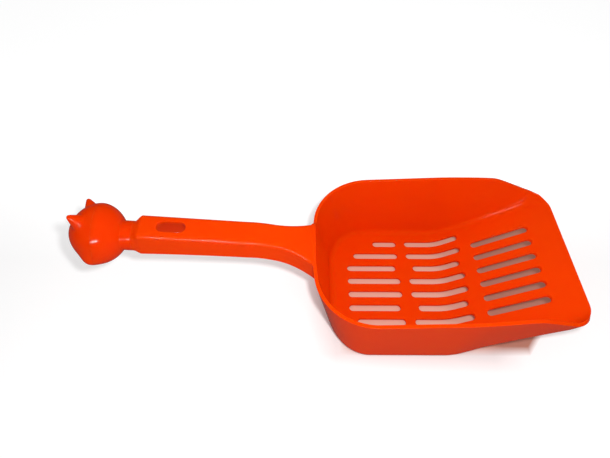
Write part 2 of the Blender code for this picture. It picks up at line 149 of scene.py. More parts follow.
# Knob: local +Z is the turning axis, pointing away from the handle, and local +Y its crown. SEAM
# is the hairline between its two shells, and between its neck and the handle.
AXIS_RISE = 0.0904
KNOB_CENTRE = Vector(frame["joints"][0]["pos_m"])
KNOB_ROLL = math.radians(31.0)
HEAD_RADIUS = 0.0161
HEAD_FRONT = 0.0163
HEAD_REAR = 0.0142
HEAD_POWER = 1.78
CROWN_SWELL = 0.0005
CROWN_START = 0.4
CHEEK_SWELL = 0.0019
CHEEK_DIRECTION = Vector((0.80, -0.76, 0.24)).normalized()
CHEEK_SPREAD = 0.28
EAR_SPREAD = math.radians(42.7)
EAR_TILT = math.radians(28.8)
EAR_REACH = 0.0244
EAR_HALF_ANGLE = math.radians(24.8)
EAR_TIP_RADIUS = 0.0223
EAR_TIP_BLEND = 0.00035
EAR_BLEND = 0.0005
CAVITY_RADIUS = 0.0124
LAP_RADIUS = 0.0138
LAP_THICKNESS = 0.0012
LAP_HEIGHT = 0.0020
LAP_SEAT = 0.0016
LAP_CHAMFER = 0.0003
NECK_RADIUS = 0.0080
NECK_FILLET = 0.0010
NECK_EDGE = 0.0004
SLEEVE_END = -0.0090
SPIGOT_RADIUS = 0.0055
SPIGOT_EDGE = 0.0003
SPIGOT_SEGMENTS = 64
KNOB_SEGMENTS = 160
REAR_POINTS = 44
FACE_POINTS = 84
FIT = 0.0003
SEAM = 0.00001
SEAM_EDGE = 0.00001

# Screw and washer behind the face shell.
SHANK_RADIUS = 0.0015
SHANK_LENGTH = 0.0085
WASHER_THICKNESS = 0.0008

# Edges sharper than this, in degrees, stay sharp in the shading.
MOULDING_CREASE = 38
KNOB_CREASE = 50

# Moulded plastic. Colours are linear.
SCOOP_ORANGE = (0.80, 0.047, 0.0004)
SCOOP_DEEP = (0.78, 0.044, 0.0003)
SCOOP_WORN = (0.86, 0.12, 0.04)
SCOOP_ROUGHNESS = 0.08
KNOB_ORANGE = (0.78, 0.038, 0.0004)
KNOB_DEEP = (0.76, 0.035, 0.0003)
KNOB_WORN = (0.84, 0.12, 0.04)
KNOB_ROUGHNESS = 0.09
GLOSS_SPREAD = 0.02
SCUFF_ROUGHNESS = 0.05
PLASTIC_WEAR = 0.35
PLASTIC_EDGE = 0.0005
PLASTIC_IOR = 1.46
PLASTIC_SPECULAR = 0.25
GLOW_WEIGHT = 0.3
GLOW_DEPTH = 0.0030
GLOW_COLOUR = (1.0, 0.15, 0.02)
RIPPLE_STRENGTH = 0.03
RIPPLE_DEPTH = 0.00004

# Zinc plate on the steel pieces.
ZINC_LIGHT = (0.62, 0.63, 0.62)
ZINC_DARK = (0.48, 0.50, 0.52)
ZINC_POLISHED = (0.78, 0.78, 0.76)
ZINC_ROUGHNESS = (0.26, 0.44)
ZINC_EDGE = 0.0002
STREAK_STRENGTH = 0.15
STREAK_DEPTH = 0.00003

# Floor. Shade and the pan's orange bounce light are painted on it under the pan, darker and
# browner under the ramp, and a shadow is painted at the foot of the walls.
# FLOOR_LIFT brightens what the camera sees of it, more so towards the far side.
FLOOR_HALF_SIZE = 3.0
FLOOR_LEVEL = -0.0001
FLOOR_PALE = ((0.80, 0.80, 0.80), (0.81, 0.81, 0.81))
FLOOR_IN_DIFFUSE = (0.72, 0.72, 0.72)
FLOOR_IN_GLOSSY = (0.09, 0.09, 0.09)
# Painted shade with painted orange bounce light, on the floor under the pan and under the ramp.
UNDER_FLOOR_PAINTED_SHADE = (0.70, 0.385, 0.30)
UNDER_RAMP_PAINTED_SHADE = (0.44, 0.21, 0.155)
RAMP_SHADE_X = (0.076, 0.092)
UNDER_PAN_X = (0.004, 0.130)
UNDER_PAN_Y = (-0.0380, 0.052)
UNDER_PAN_SOFT = (0.008, 0.006)
LIP_SHADE_X = 0.107
LIP_SHADE_SLANT = 1.2
# Where a shadow is painted round the pan's foot.
FOOT_SHADOW_X = (-0.006, 0.086)
FOOT_SHADOW_Y = (-0.043, 0.043)
FOOT_SHADOW_SOFT = (0.018, 0.012)
FLOOR_LIFT = (0.24, 0.42)
FLOOR_LIFT_Y = (0.020, 0.110)

# Camera and lights. The key sits beside the camera. The strip only lights reflections.
SCENE_CENTRE = Vector((-0.010, 0.0, 0.025))
CAMERA_PLACE = Vector((-0.02356, -0.14299, 0.25778))
CAMERA_TILT = math.radians(36.41)
CAMERA_TURN = math.radians(0.30)
CAMERA_LENS = 27.03
CAMERA_SENSOR = 36.0
WORLD_STRENGTH = 0.66
KEY_OFFSET = Vector((0.022, 0.012, 0.010))
KEY_SIZE = (0.014, 0.014)
KEY_POWER = 0.53
STRIP_ELEVATION = math.radians(26.0)
STRIP_AZIMUTH = math.radians(0.5)
STRIP_DISTANCE = 1.2
STRIP_SIZE = (0.80, 0.022)
STRIP_POWER = 11.0


# ---------------------------------------------------------------- mesh helpers

def smooth(value):
    """Ease from 0 to 1 between 0 and 1, and stay there outside of them."""
    value = min(max(value, 0.0), 1.0)
    return value * value * (3.0 - 2.0 * value)


def new_object(name, bm):
    bmesh.ops.recalc_face_normals(bm, faces=bm.faces)
    mesh = bpy.data.meshes.new(name)
    bm.to_mesh(mesh)
    bm.free()
    obj = bpy.data.objects.new(name, mesh)
    bpy.context.scene.collection.objects.link(obj)
    return obj


def remove(obj):
    mesh = obj.data
    bpy.data.objects.remove(obj, do_unlink=True)
    bpy.data.meshes.remove(mesh)


def apply_modifiers(obj):
    """Keep the evaluated mesh as the object's own."""
    graph = bpy.context.evaluated_depsgraph_get()
    mesh = bpy.data.meshes.new_from_object(obj.evaluated_get(graph))
    old = obj.data
    obj.modifiers.clear()
    obj.data = mesh
    bpy.data.meshes.remove(old)


def delete_flaps(bm):
    """Delete faces folded onto each other, with the same corners."""
    by_corners = {}
    for face in bm.faces:
        by_corners.setdefault(frozenset(face.verts), []).append(face)
    flaps = [face for faces in by_corners.values() if len(faces) > 1 for face in faces]
    bmesh.ops.delete(bm, geom=flaps, context="FACES")


def combine(obj, other, operation):
    """Boolean an object with another, which is used up."""
    modifier = obj.modifiers.new(operation, "BOOLEAN")
    modifier.operation = operation
    modifier.object = other
    modifier.solver = "EXACT"
    apply_modifiers(obj)
    remove(other)
    bm = bmesh.new()
    bm.from_mesh(obj.data)
    bmesh.ops.remove_doubles(bm, verts=bm.verts, dist=MERGE)
    delete_flaps(bm)
    bm.to_mesh(obj.data)
    bm.free()


def finish_shading(obj, sharp_angle):
    obj.data.shade_smooth()
    obj.data.set_sharp_from_angle(angle=math.radians(sharp_angle))
    modifier = obj.modifiers.new("weighted normals", "WEIGHTED_NORMAL")
    modifier.keep_sharp = True
    modifier.weight = 80


def rounded_corner(start, corner, end, steps):
    """Points on a quarter round from start to end, tangent to both sides of the corner."""
    first = start.lerp(corner, QUARTER_ROUND)
    second = end.lerp(corner, QUARTER_ROUND)
    points = []
    for step in range(steps + 1):
        t = step / steps
        u = 1 - t
        point = start * u**3 + first * (3 * u * u * t)
        point += second * (3 * u * t * t)
        point += end * t**3
        points.append(point)
    return points


def loft(name, rings):
    """A closed surface through rings that have the same number of points."""
    bm = bmesh.new()
    rows = [[bm.verts.new(point) for point in ring] for ring in rings]
    for near, far in zip(rows, rows[1:]):
        for i in range(len(near)):
            j = (i + 1) % len(near)
            bm.faces.new((near[i], near[j], far[j], far[i]))
    bm.faces.new(rows[0])
    bm.faces.new(rows[-1])
    return new_object(name, bm)


# ---------------------------------------------------------------- pan

def bend_range():
    """Where along X the rolled bend starts and ends."""
    reach = BEND_RADIUS * math.tan(RAMP_ANGLE / 2)
    return BEND_X - reach, BEND_X + reach * math.cos(RAMP_ANGLE)


def underside(x):
    """Height of the pan's underside: flat floor, rolled bend, ramp."""
    start, end = bend_range()
    if x <= start:
        return 0.0
    if x >= end:
        return (x - BEND_X) * math.tan(RAMP_ANGLE)
    return BEND_RADIUS - math.sqrt(BEND_RADIUS**2 - (x - start) ** 2)


def floor_thickness(x):
    """The floor's thickness, measured straight up."""
    turned_by = (x - bend_range()[0]) / BEND_RADIUS
    slope = min(math.asin(min(max(turned_by, 0.0), 1.0)), RAMP_ANGLE)
    return WALL / math.cos(slope)


def floor_top(x):
    return underside(x) + floor_thickness(x)


def rim_half_width(x):
    lip_start = LIP_X - LIP_CORNER_RADIUS
    taper = min(max(x - SIDE_TAPER_X, 0.0) / (lip_start - SIDE_TAPER_X), 1.0)
    return RIM_HALF_WIDTH + (LIP_HALF_WIDTH - RIM_HALF_WIDTH) * taper**1.5


def foot_half_width(x):
    start, end = FOOT_NARROWS_X
    narrowed = smooth((x - start) / (end - start))
    return FOOT_HALF_WIDTH + (RAMP_FOOT_HALF_WIDTH - FOOT_HALF_WIDTH) * narrowed


def rim_height(x, y):
    """Height of the rim over the ground. It comes down to the lip's height and no further."""
    past = x - RIM_PEAK_X
    rounded = (past + math.hypot(past, 2 * RIM_ROUND)) / 2
    side = RIM_HEIGHT + RIM_RISE * x - (RIM_RISE + RIM_FALL) * rounded
    over_lip = side - floor_top(LIP_X)
    side += (math.hypot(over_lip, 2 * RIM_MEET) - over_lip) / 2
    if x < 0:
        hump = smooth((HUMP_OUTER - abs(y)) / (HUMP_OUTER - HUMP_INNER))
        side += hump * (HUMP_HEIGHT - side)
    return side


def wall_height(x, y):
    """Height of the rim over the underside. The rim eases into the lip where the two meet."""
    thickness = floor_thickness(x)
    over_floor = rim_height(x, y) - floor_top(x)
    over_floor = (over_floor + math.hypot(over_floor, 2 * LIP_MEET)) / 2
    return over_floor + thickness * smooth(over_floor / (2 * WALL))


def half_outline():
    """Rim points from the middle of the back to the middle of the lip, with outward normals."""
    corner_x, corner_y, radius = BACK_CORNER
    points = []
    for step in range(BACK_POINTS):
        points.append((RIM_BACK_X, corner_y * step / BACK_POINTS, math.pi))
    for angle in np.linspace(math.pi, math.pi / 2, CORNER_POINTS):
        x = corner_x + radius * math.cos(angle)
        y = corner_y + radius * math.sin(angle)
        points.append((x, y, angle))
    lip_start = LIP_X - LIP_CORNER_RADIUS
    peak = (RIM_PEAK_X - 4 * RIM_ROUND, RIM_PEAK_X + 4 * RIM_ROUND)
    marks = (corner_x, *bend_range(), *peak, lip_start)
    stations = []
    for start, end, steps in zip(marks, marks[1:], SIDE_STEPS):
        stations += list(np.linspace(start, end, steps + 1)[1:])
    for x in stations[:-1]:
        points.append((x, rim_half_width(x), math.pi / 2))
    for angle in np.linspace(math.pi / 2, 0.0, CORNER_POINTS):
        x = lip_start + LIP_CORNER_RADIUS * math.cos(angle)
        y = LIP_HALF_WIDTH - LIP_CORNER_RADIUS + LIP_CORNER_RADIUS * math.sin(angle)
        points.append((x, y, angle))
    lip_end = LIP_HALF_WIDTH - LIP_CORNER_RADIUS
    for step in range(1, LIP_POINTS + 1):
        points.append((LIP_X, lip_end * (1 - step / LIP_POINTS), 0.0))
    return points


def wall_section(x, y, angle):
    """Points from the floor's underside up the outside, over the rounded rim and down inside."""
    height = wall_height(x, y)
    outward = Vector((math.cos(angle), math.sin(angle), 0.0))
    # The outline is true at the common rim height, and the hump carries the leaning wall on upward.
    rise = max(height - (RIM_HEIGHT + RIM_RISE * x), 0.0) if x < 0 else 0.0
    rim = Vector((x, y, 0.0)) + outward * (BACK_LEAN * rise)
    rim.z = underside(x) + height
    side_run = rim_half_width(x) - foot_half_width(x)
    end_run = BACK_LEAN * (height - rise) if outward.x < 0 else side_run
    foot = Vector((x - end_run * outward.x, y - side_run * outward.y, 0.0))
    foot.z = underside(foot.x)
    toe = foot - outward * FOOT_FILLET
    toe.z = underside(toe.x)
    heel = foot.lerp(rim, min(FOOT_FILLET / max(height, WALL), FILLET_SHARE))
    path = []
    for step in range(FOOT_STEPS + 1):
        t = step / FOOT_STEPS
        point = toe * (1 - t) ** 2 + foot * (2 * t * (1 - t)) + heel * t**2
        path.append((point, (foot - toe) * (1 - t) + (heel - foot) * t))
    shoulder = rim + (foot - rim).normalized() * RIM_EDGE
    for row in range(1, WALL_ROWS + 1):
        path.append((heel.lerp(shoulder, row / WALL_ROWS), rim - foot))
    path.append((rim, rim - foot))
    floor_angle = math.atan2(foot.z - toe.z, FOOT_FILLET)
    inner = []
    for point, tangent in path:
        up_angle = math.atan2(tangent.z, tangent.dot(outward)) - floor_angle
        offset = Vector((0.0, 0.0, floor_thickness(point.x) * math.cos(up_angle)))
        inner.append(point + offset - outward * (WALL * math.sin(up_angle)))
    outer = [point for point, tangent in path]
    across = (inner[-1] - outer[-1]).normalized() * RIM_EDGE
    section = outer[:-2]
    section += rounded_corner(outer[-2], outer[-1], outer[-1] + across, RIM_EDGE_STEPS)
    section += rounded_corner(inner[-1] - across, inner[-1], inner[-2], RIM_EDGE_STEPS)
    return section + inner[-3::-1]


def pan_shell():
    """The pan as one closed shell: wall sections round the outline, and floor strips across."""
    bm = bmesh.new()
    half = [wall_section(*point) for point in half_outline()]
    last = len(half) - 1
    columns = {}
    for side in (1, -1):
        for index, section in enumerate(half):
            if side < 0 and index in (0, last):
                columns[index, side] = columns[index, 1]
                continue
            columns[index, side] = [bm.verts.new((p.x, side * p.y, p.z)) for p in section]
        for index in range(last):
            near = columns[index, side]
            far = columns[index + 1, side]
            for row in range(len(near) - 1):
                bm.faces.new((near[row], far[row], far[row + 1], near[row + 1]))
    # The straight back and the straight lip each end in one strip that takes all their points.
    cuts = [0, *range(BACK_POINTS + 1, last - LIP_POINTS), last]
    for end in (0, -1):
        for first, second in zip(cuts, cuts[1:]):
            edge = [columns[index, 1][end] for index in range(first, second + 1)]
            edge += [columns[index, -1][end] for index in range(second, first - 1, -1)]
            bm.faces.new(list(dict.fromkeys(edge)))
    return new_object("scoop_moulding", bm)


def stadium_outline(x0, x1, y, radius, spread, straight, arc):
    """A round-ended outline, grown all round by spread, with points along its straight sides."""
    ring = []
    low = x0 + radius
    high = x1 - radius
    for step in range(arc):
        angle = -math.pi / 2 + step / arc * math.pi
        ring.append((high, angle))
    for step in range(straight):
        ring.append((high + (low - high) * step / straight, math.pi / 2))
    for step in range(arc):
        angle = math.pi / 2 + step / arc * math.pi
        ring.append((low, angle))
    for step in range(straight):
        ring.append((low + (high - low) * step / straight, 3 * math.pi / 2))
    reach = radius + spread
    return [(x + reach * math.cos(angle), y + reach * math.sin(angle)) for x, angle in ring]


def eased_cutter(x0, x1, y, width, edge, bottom, top, straight=14, arc=10):
    """A round-ended cutter whose wall flares in a quarter round at the surfaces it comes out of."""
    flare = [math.radians(a) for a in EASE_ANGLES]
    levels = [(edge * (1 - math.sin(a)), edge * (1 - math.cos(a))) for a in flare]
    widest = levels[-1][1] + EASE_RUN * edge * math.tan(flare[-1])
    levels.append((-EASE_RUN * edge, widest))
    rings = []
    for surface, sign in ((bottom, 1), (top, -1)):
        side = []
        for inside, spread in levels:
            outline = stadium_outline(x0, x1, y, width / 2, spread, straight, arc)
            side.append([Vector((px, py, surface(px) + sign * inside)) for px, py in outline])
        outermost = max(-sign * point.z for point in side[-1]) + CUT_THROUGH
        side.append([Vector((point.x, point.y, -sign * outermost)) for point in side[-1]])
        rings = side[::-1] if sign > 0 else rings + side
    return loft("cutter", rings)


def slot_cutter():
    """All sifting slots as one set of separate cutters."""
    bm = bmesh.new()
    for column in SLOT_COLUMNS:
        for row, (x0, x1) in enumerate(column):
            for side in (1, -1):
                y = side * (row + 0.5) * SLOT_PITCH
                cutter = eased_cutter(x0, x1, y, SLOT_WIDTH, SLOT_EDGE, underside, floor_top)
                bm.from_mesh(cutter.data)
                remove(cutter)
    return new_object("slots", bm)


# ---------------------------------------------------------------- handle

def handle_top(x):
    line = HANDLE_TOP_END + HANDLE_SLOPE * (HANDLE_END_X - x)
    sag = max(x - HANDLE_SAG_X, 0.0) / (HANDLE_ROOT_X - HANDLE_SAG_X)
    return line - HANDLE_SAG * sag**1.75


def handle_half_width(x):
    flare = max(x - FLARE_X, 0.0) / (HANDLE_ROOT_X - FLARE_X)
    return HANDLE_HALF_WIDTH + FLARE * flare**2


def handle_bottom(x):
    to_end = max(HANDLE_SAG_X - x, 0.0) / (HANDLE_SAG_X - HANDLE_END_X)
    to_root = max(x - HANDLE_SAG_X, 0.0) / (HANDLE_ROOT_X - HANDLE_SAG_X)
    depth = HANDLE_DEPTH + HANDLE_END_DEPTH * to_end**2 + HANDLE_ROOT_DEPTH * to_root**1.5
    return handle_top(x) - depth


def axis_height(x):
    return KNOB_CENTRE.z + AXIS_RISE * (KNOB_CENTRE.x - x)


def lean_section(x, half_ring):
    """Mirror half a cross-section and tilt it, from the back wall's lean to square on the axis."""
    ring = half_ring + [(-y, z) for y, z in reversed(half_ring)]
    along = (x - HANDLE_ROOT_X) / (HANDLE_END_X - HANDLE_ROOT_X)
    lean = -BACK_LEAN + (AXIS_RISE + BACK_LEAN) * min(max(along, 0.0), 1.0)
    level = axis_height(x) if x < HANDLE_SAG_X else handle_top(x)
    return [Vector((x + lean * (z - level), y, z)) for y, z in ring]


def arc(centre, radius, start, end, steps):
    angles = np.linspace(math.radians(start), math.radians(end), steps + 1)
    return [(centre[0] + radius * math.cos(a), centre[1] + radius * math.sin(a)) for a in angles]


def handle_section(x, grow=0.0, roundness=0.0):
    """Outside of the handle: rounded top edges and small rounds along the open lower edges.

    grow makes it wider and deeper. roundness takes it from 0, its own shape, to 1, a circle about
    the turning axis, as wide as the neck.
    """
    top = handle_top(x)
    half = handle_half_width(x) + grow
    bottom = handle_bottom(x) - grow
    radius = HANDLE_EDGE_RADIUS
    small = HANDLE_LOWER_EDGE
    ring = [(half * 0.3, bottom), (half * 0.6, bottom)]
    ring += arc((half + HANDLE_DRAFT - small, bottom + small), small, -90, 0, 4)
    for t in (0.75, 0.5, 0.25):
        ring.append((half + HANDLE_DRAFT * t, top - radius + (bottom - top + radius) * t))
    ring += arc((half - radius, top - radius), radius, 0, 90, 10)
    ring += [(half * t, top) for t in (0.4, 0.2)]
    shaped = []
    for y, z in ring:
        rise = z - axis_height(x)
        scale = 1 + roundness * (NECK_RADIUS / math.hypot(y, rise) - 1)
        shaped.append((y * scale, axis_height(x) + rise * scale))
    return lean_section(x, shaped)


def handle_block():
    """Outside of the handle, from inside the back wall to the round end that meets the neck."""
    widest = ROOT_FILLET * (1 - math.cos(math.radians(ROOT_ANGLES[0])))
    rings = [handle_section(HANDLE_ROOT_X + WALL / 2, widest)]
    for angle in np.radians(ROOT_ANGLES):
        x = HANDLE_ROOT_X - ROOT_FILLET * (1 - math.sin(angle))
        rings.append(handle_section(x, ROOT_FILLET * (1 - math.cos(angle))))
    shoulder_x = HANDLE_END_X + SHOULDER_LENGTH
    stations = list(np.linspace(HANDLE_ROOT_X - ROOT_FILLET, HANDLE_SAG_X, GRIP_RINGS[0]))
    stations += list(np.linspace(HANDLE_SAG_X, shoulder_x, GRIP_RINGS[1])[1:])
    rings += [handle_section(x) for x in stations]
    for t in np.linspace(0.0, 1.0, SHOULDER_STEPS + 1)[1:]:
        rings.append(handle_section(HANDLE_END_X + SHOULDER_LENGTH * (1 - t), 0.0, smooth(t)))
    return loft("handle_block", rings)


def channel_section(x, inset=0.0):
    """Hollow of the handle, eased outward where it meets the lower edges."""
    top = handle_top(x) - HANDLE_SKIN - inset
    half = handle_half_width(x) - HANDLE_SKIN - inset
    bottom = handle_bottom(x)
    radius = HANDLE_EDGE_RADIUS - HANDLE_SKIN
    small = HANDLE_LOWER_EDGE
    draft = HANDLE_DRAFT / 2
    ring = [(half + draft + small, bottom - CHANNEL_OVERRUN)]
    ring.append((half + draft + 0.8 * small, bottom - 0.1 * small))
    ring += arc((half + draft + small, bottom + small), small, 245, 180, 3)
    ring += arc((half - radius, top - radius), radius, 0, 90, 6)
    return lean_section(x, ring)


def handle_channel():
    """The hollow of the handle, open below. It ends before the back wall and the end wall."""
    first = CHANNEL_START_X
    last = HANDLE_END_X + END_WALL
    rings = []
    for angle in np.radians((90, 60, 30)):
        x = first - CHANNEL_ROUND * (1 - math.sin(angle))
        rings.append(channel_section(x, CHANNEL_ROUND * (1 - math.cos(angle))))
    stations = list(np.linspace(first - CHANNEL_ROUND, HANDLE_SAG_X, GRIP_RINGS[0]))
    stations += list(np.linspace(HANDLE_SAG_X, last + CHANNEL_ROUND, GRIP_RINGS[1])[1:])
    rings += [channel_section(x) for x in stations]
    for angle in np.radians((30, 60, 90)):
        x = last + CHANNEL_ROUND * (1 - math.sin(angle))
        rings.append(channel_section(x, CHANNEL_ROUND * (1 - math.cos(angle))))
    return loft("handle_channel", rings)


def hanging_hole():
    """Cutter for the hanging hole, eased where it leaves the top of the handle."""
    x0, x1, width = HANG_HOLE

    def in_channel(x):
        return handle_top(x) - HANDLE_SKIN - 2 * CUT_THROUGH

    return eased_cutter(x0, x1, 0.0, width, HANG_HOLE_EDGE, in_channel, handle_top, 8, 16)


# ---------------------------------------------------------------- knob

def axis_matrix(roll):
    """Frame at the knob's centre: local +Z along the turning axis, local +Y up, then rolled."""
    along = Vector((-1.0, 0.0, AXIS_RISE)).normalized()
    across = Vector((0.0, 1.0, 0.0))
    up = Vector((AXIS_RISE, 0.0, 1.0)).normalized()
    crown = up * math.cos(roll) + across * math.sin(roll)
    lateral = crown.cross(along)
    turn = Matrix((lateral, crown, along)).transposed().to_4x4()
    return Matrix.Translation(KNOB_CENTRE) @ turn


def neck_length():
    """From the knob's centre back to the end of the handle, along the turning axis."""
    return (HANDLE_END_X - KNOB_CENTRE.x) * math.hypot(1.0, AXIS_RISE)


def head_radius(direction):
    """Radius of the head in a direction: a rounded solid with full cheeks, a crown and two ears."""
    depth = HEAD_FRONT if direction.z > 0 else HEAD_REAR
    across = math.hypot(direction.x, direction.y) / HEAD_RADIUS
    along = abs(direction.z) / depth
    radius = (across**HEAD_POWER + along**HEAD_POWER) ** (-1 / HEAD_POWER)
    radius += CROWN_SWELL * smooth((direction.y - CROWN_START) / (1 - CROWN_START))
    folded = Vector((abs(direction.x), direction.y, direction.z))
    radius += CHEEK_SWELL * math.exp(-((folded.angle(CHEEK_DIRECTION) / CHEEK_SPREAD) ** 2))
    ear = Vector((
        math.cos(EAR_TILT) * math.sin(EAR_SPREAD),
        math.cos(EAR_TILT) * math.cos(EAR_SPREAD),
        math.sin(EAR_TILT),
    ))
    off = min(folded.angle(ear) + EAR_HALF_ANGLE, math.pi / 2)
    cone = EAR_REACH * math.sin(EAR_HALF_ANGLE) / math.sin(off)
    cone -= EAR_TIP_BLEND * math.log1p(math.exp((cone - EAR_TIP_RADIUS) / EAR_TIP_BLEND))
    return radius + EAR_BLEND * math.log1p(math.exp((cone - radius) / EAR_BLEND))


def revolve(name, profile, segments, closed):
    """Revolve a profile about local Z.

    A profile point is (z, radius), or the angle from local +Z of a point on the head's surface.
    """
    bm = bmesh.new()
    rows = []
    for point in profile:
        row = []
        for i in range(segments):
            angle = 2 * math.pi * i / segments
            if isinstance(point, float):
                outward = math.sin(point)
                across = (outward * math.cos(angle), outward * math.sin(angle))
                direction = Vector((*across, math.cos(point)))
                place = direction * head_radius(direction)
            else:
                z, outward = point
                place = Vector((outward * math.cos(angle), outward * math.sin(angle), z))
            row.append(bm.verts.new(place))
            if outward < 1e-7:
                break
        rows.append(row)
    pairs = list(zip(rows, rows[1:]))
    if closed:
        pairs.append((rows[-1], rows[0]))
    for near, far in pairs:
        if len(near) == len(far) == 1:
            continue
        for i in range(segments):
            j = (i + 1) % segments
            if len(near) == 1:
                bm.faces.new((near[0], far[i], far[j]))
            elif len(far) == 1:
                bm.faces.new((near[i], near[j], far[0]))
            else:
                bm.faces.new((near[i], near[j], far[j], far[i]))
    return new_object(name, bm)


def neck_angle(radius):
    """Angle from local +Z at which the head's surface comes down to a radius at its rear."""
    low = math.pi / 2
    high = math.pi
    for _ in range(40):
        angle = (low + high) / 2
        direction = Vector((math.sin(angle), 0.0, math.cos(angle)))
        if head_radius(direction) * direction.x > radius:
            low = angle
        else:
            high = angle
    return low


def cavity_arc(z_from, z_to, count):
    """Profile points on the round cavity of the head."""
    start = math.acos(z_from / CAVITY_RADIUS)
    end = math.acos(z_to / CAVITY_RADIUS)
    angles = np.linspace(start, end, count)
    return [(CAVITY_RADIUS * math.cos(a), max(CAVITY_RADIUS * math.sin(a), 0.0)) for a in angles]


def neck_shell():
    """Rear half of the head, with the neck and the sleeve that turns on the spigot."""
    end = -neck_length() + SEAM
    bore = SPIGOT_RADIUS + FIT
    profile = [(end + NECK_EDGE, bore), (end, bore + NECK_EDGE)]
    for angle in np.radians((0, 30, 60, 90)):
        radius = NECK_RADIUS - NECK_EDGE * (1 - math.sin(angle))
        profile.append((end + NECK_EDGE * (1 - math.cos(angle)), radius))
    start = neck_angle(NECK_RADIUS + 0.8 * NECK_FILLET)
    direction = Vector((math.sin(start), 0.0, math.cos(start)))
    on_head = direction * head_radius(direction)
    neck_z = on_head.z - 0.9 * NECK_FILLET
    profile += [(end + (neck_z - end) * t, NECK_RADIUS) for t in (0.35, 0.7)]
    on_neck = Vector((neck_z, NECK_RADIUS, 0.0))
    corner = Vector((on_head.z - 0.35 * NECK_FILLET, NECK_RADIUS, 0.0))
    fillet = rounded_corner(on_neck, corner, Vector((on_head.z, on_head.x, 0.0)), 5)
    profile += [(point.x, point.y) for point in fillet[:-1]]
    seam_angle = math.pi / 2 + SEAM_EDGE / HEAD_RADIUS
    profile += [float(angle) for angle in np.linspace(start, seam_angle, REAR_POINTS)]
    profile += [(0.0, LAP_RADIUS + LAP_SEAT), (0.0, LAP_RADIUS)]
    profile += [(LAP_HEIGHT - LAP_CHAMFER, LAP_RADIUS), (LAP_HEIGHT, LAP_RADIUS - LAP_CHAMFER)]
    profile.append((LAP_HEIGHT, LAP_RADIUS - LAP_THICKNESS))
    profile += cavity_arc(0.0, -math.sqrt(CAVITY_RADIUS**2 - NECK_RADIUS**2), 18)
    profile += [(SLEEVE_END, NECK_RADIUS), (SLEEVE_END, bore)]
    return revolve("knob_rear_shell", profile, KNOB_SEGMENTS, True)


def face_shell():
    """Front half of the head, with the ears. It covers the screw."""
    seat = LAP_RADIUS + FIT
    seam_angle = math.pi / 2 - (SEAM + SEAM_EDGE) / HEAD_RADIUS
    profile = [float(angle) for angle in np.linspace(seam_angle, 0.0, FACE_POINTS)]
    profile += cavity_arc(CAVITY_RADIUS, LAP_HEIGHT + FIT, 20)
    profile += [(LAP_HEIGHT + FIT, seat), (SEAM, seat), (SEAM, LAP_RADIUS + LAP_SEAT)]
    return revolve("knob_face", profile, KNOB_SEGMENTS, True)


def spigot():
    """Round post that the sleeve turns on, with a blind hole for the screw."""
    start = -neck_length() - 0.6 * END_WALL
    end = SLEEVE_END - FIT
    eased = end - SPIGOT_EDGE
    hole = SHANK_RADIUS + FIT
    bottom = SLEEVE_END + WASHER_THICKNESS + FIT - SHANK_LENGTH
    profile = [(start, 0.0), (start, SPIGOT_RADIUS)]
    profile += [(eased, SPIGOT_RADIUS), (end, SPIGOT_RADIUS - SPIGOT_EDGE)]
    profile += [(end, hole + SPIGOT_EDGE), (eased, hole), (bottom, hole), (bottom, 0.0)]
    return revolve("spigot", profile, SPIGOT_SEGMENTS, False)


# ---------------------------------------------------------------- materials

